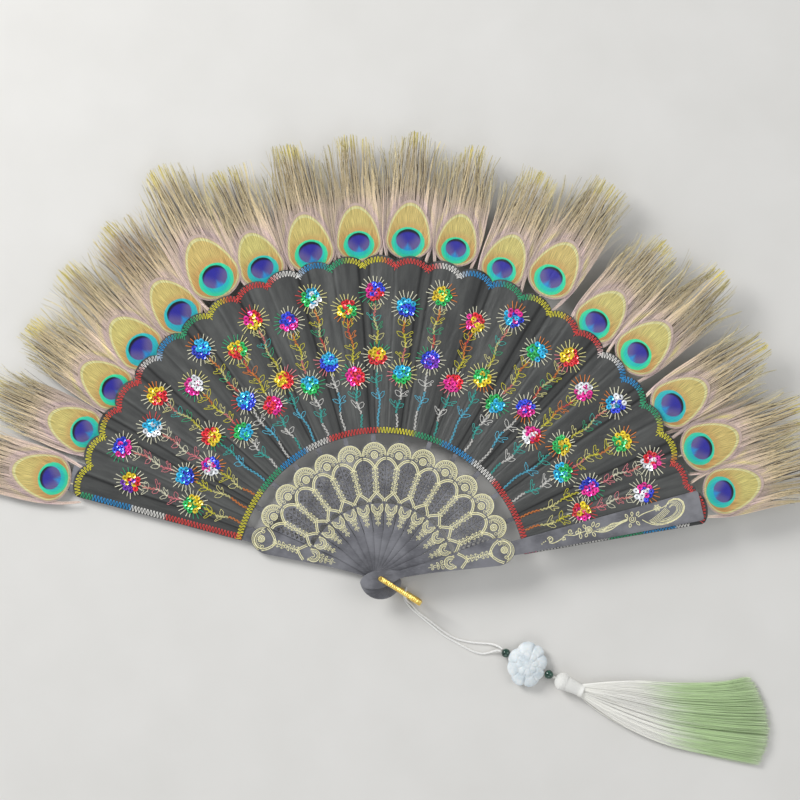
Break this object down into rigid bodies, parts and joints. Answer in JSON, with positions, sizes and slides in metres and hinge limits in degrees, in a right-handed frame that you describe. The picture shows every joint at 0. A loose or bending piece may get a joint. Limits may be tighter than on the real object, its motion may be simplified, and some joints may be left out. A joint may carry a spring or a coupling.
{
  "type": "folding feather fan",
  "caption": "Folding hand fan with pierced sticks on one rivet, a scalloped cloth leaf, eyed feathers behind it, and a beaded tassel on a shackle.",
  "frame": {"origin": "centre of the rear face of the rivet's head, under the stack of sticks", "axes": "+Z along the rivet from the back guard to the front guard, +X across the open fan towards the front guard, +Y up its middle, away from the rivet"},
  "size_m": [0.5802, 0.4161, 0.0232],
  "materials": {
    "stick_plastic": "satin moulded dark grey plastic with pale gold print",
    "shackle_gold": "ridged gold",
    "rivet_metal": "turned",
    "leaf_cloth": "satin cloth with coloured embroidery and sequins",
    "feather": "bronze green peacock eye feather with loose barbs",
    "cord_white": "smooth white cord",
    "jade": "polished dark green",
    "frosted_flower": "frosted, translucent, bluish white",
    "silk_white": "silky bound yarn",
    "silk_green": "silky loose yarn, white at the top to green at the ends"
  },
  "bodies": {
    "back_guard": {"back_guard": "stick_plastic", "leaf_gore_01": "leaf_cloth", "rivet_pin": "rivet_metal", "feather_01": "feather"},
    "rib_01": {"rib_01": "stick_plastic", "leaf_gore_02": "leaf_cloth", "feather_02": "feather", "feather_03": "feather"},
    "rib_02": {"rib_02": "stick_plastic", "leaf_gore_03": "leaf_cloth", "feather_04": "feather"},
    "rib_03": {"rib_03": "stick_plastic", "leaf_gore_04": "leaf_cloth", "feather_05": "feather"},
    "rib_04": {"rib_04": "stick_plastic", "leaf_gore_05": "leaf_cloth", "feather_06": "feather", "feather_07": "feather"},
    "rib_05": {"rib_05": "stick_plastic", "leaf_gore_06": "leaf_cloth", "feather_08": "feather"},
    "rib_06": {"rib_06": "stick_plastic", "leaf_gore_07": "leaf_cloth", "feather_09": "feather"},
    "rib_07": {"rib_07": "stick_plastic", "leaf_gore_08": "leaf_cloth", "feather_10": "feather", "feather_11": "feather"},
    "rib_08": {"rib_08": "stick_plastic", "leaf_gore_09": "leaf_cloth", "feather_12": "feather"},
    "rib_09": {"rib_09": "stick_plastic", "leaf_gore_10": "leaf_cloth", "feather_13": "feather"},
    "rib_10": {"rib_10": "stick_plastic", "leaf_gore_11": "leaf_cloth", "feather_14": "feather"},
    "rib_11": {"rib_11": "stick_plastic", "leaf_gore_12": "leaf_cloth", "feather_15": "feather", "feather_16": "feather"},
    "rib_12": {"rib_12": "stick_plastic", "leaf_gore_13": "leaf_cloth", "feather_17": "feather"},
    "front_guard": {"front_guard": "stick_plastic", "leaf_gore_14": "leaf_cloth", "feather_18": "feather"},
    "shackle": {"shackle": "shackle_gold"},
    "tassel": {"cord": "cord_white", "bead_upper": "jade", "flower_bead": "frosted_flower", "bead_lower": "jade", "tassel_ball": "silk_white", "tassel_neck": "silk_white", "tassel_skirt": "silk_green"}
  },
  "joints": [
    {"name": "fold_01", "type": "hinge", "parent": "back_guard", "child": "rib_01", "pos_m": [0, 0, 0], "axis": [0, 0, 1], "range_deg": [0, 11.45]},
    {"name": "fold_02", "type": "hinge", "parent": "rib_01", "child": "rib_02", "pos_m": [0, 0, 0], "axis": [0, 0, 1], "range_deg": [0, 11.45]},
    {"name": "fold_03", "type": "hinge", "parent": "rib_02", "child": "rib_03", "pos_m": [0, 0, 0], "axis": [0, 0, 1], "range_deg": [0, 11.45]},
    {"name": "fold_04", "type": "hinge", "parent": "rib_03", "child": "rib_04", "pos_m": [0, 0, 0], "axis": [0, 0, 1], "range_deg": [0, 11.45]},
    {"name": "fold_05", "type": "hinge", "parent": "rib_04", "child": "rib_05", "pos_m": [0, 0, 0], "axis": [0, 0, 1], "range_deg": [0, 11.45]},
    {"name": "fold_06", "type": "hinge", "parent": "rib_05", "child": "rib_06", "pos_m": [0, 0, 0], "axis": [0, 0, 1], "range_deg": [0, 11.45]},
    {"name": "fold_07", "type": "hinge", "parent": "rib_06", "child": "rib_07", "pos_m": [0, 0, 0], "axis": [0, 0, 1], "range_deg": [0, 11.45]},
    {"name": "fold_08", "type": "hinge", "parent": "rib_07", "child": "rib_08", "pos_m": [0, 0, 0], "axis": [0, 0, 1], "range_deg": [0, 11.45]},
    {"name": "fold_09", "type": "hinge", "parent": "rib_08", "child": "rib_09", "pos_m": [0, 0, 0], "axis": [0, 0, 1], "range_deg": [0, 11.45]},
    {"name": "fold_10", "type": "hinge", "parent": "rib_09", "child": "rib_10", "pos_m": [0, 0, 0], "axis": [0, 0, 1], "range_deg": [0, 11.45]},
    {"name": "fold_11", "type": "hinge", "parent": "rib_10", "child": "rib_11", "pos_m": [0, 0, 0], "axis": [0, 0, 1], "range_deg": [0, 11.45]},
    {"name": "fold_12", "type": "hinge", "parent": "rib_11", "child": "rib_12", "pos_m": [0, 0, 0], "axis": [0, 0, 1], "range_deg": [0, 11.45]},
    {"name": "fold_13", "type": "hinge", "parent": "rib_12", "child": "front_guard", "pos_m": [0, 0, 0], "axis": [0, 0, 1], "range_deg": [0, 11.45]},
    {"name": "shackle_swing", "type": "hinge", "parent": "back_guard", "child": "shackle", "pos_m": [0, 0, 0], "axis": [0, 0, 1], "range_deg": [-115, 10]},
    {"name": "tassel_swing", "type": "hinge", "parent": "shackle", "child": "tassel", "pos_m": [0.01543, -0.00964, 0], "axis": [0, 0, 1], "range_deg": [-25, 12]}
  ],
  "couplings": [
    {"joint": "fold_02", "follows": "fold_01", "ratio": 1},
    {"joint": "fold_03", "follows": "fold_01", "ratio": 1},
    {"joint": "fold_04", "follows": "fold_01", "ratio": 1},
    {"joint": "fold_05", "follows": "fold_01", "ratio": 1},
    {"joint": "fold_06", "follows": "fold_01", "ratio": 1},
    {"joint": "fold_07", "follows": "fold_01", "ratio": 1},
    {"joint": "fold_08", "follows": "fold_01", "ratio": 1},
    {"joint": "fold_09", "follows": "fold_01", "ratio": 1},
    {"joint": "fold_10", "follows": "fold_01", "ratio": 1},
    {"joint": "fold_11", "follows": "fold_01", "ratio": 1},
    {"joint": "fold_12", "follows": "fold_01", "ratio": 1},
    {"joint": "fold_13", "follows": "fold_01", "ratio": 1}
  ]
}
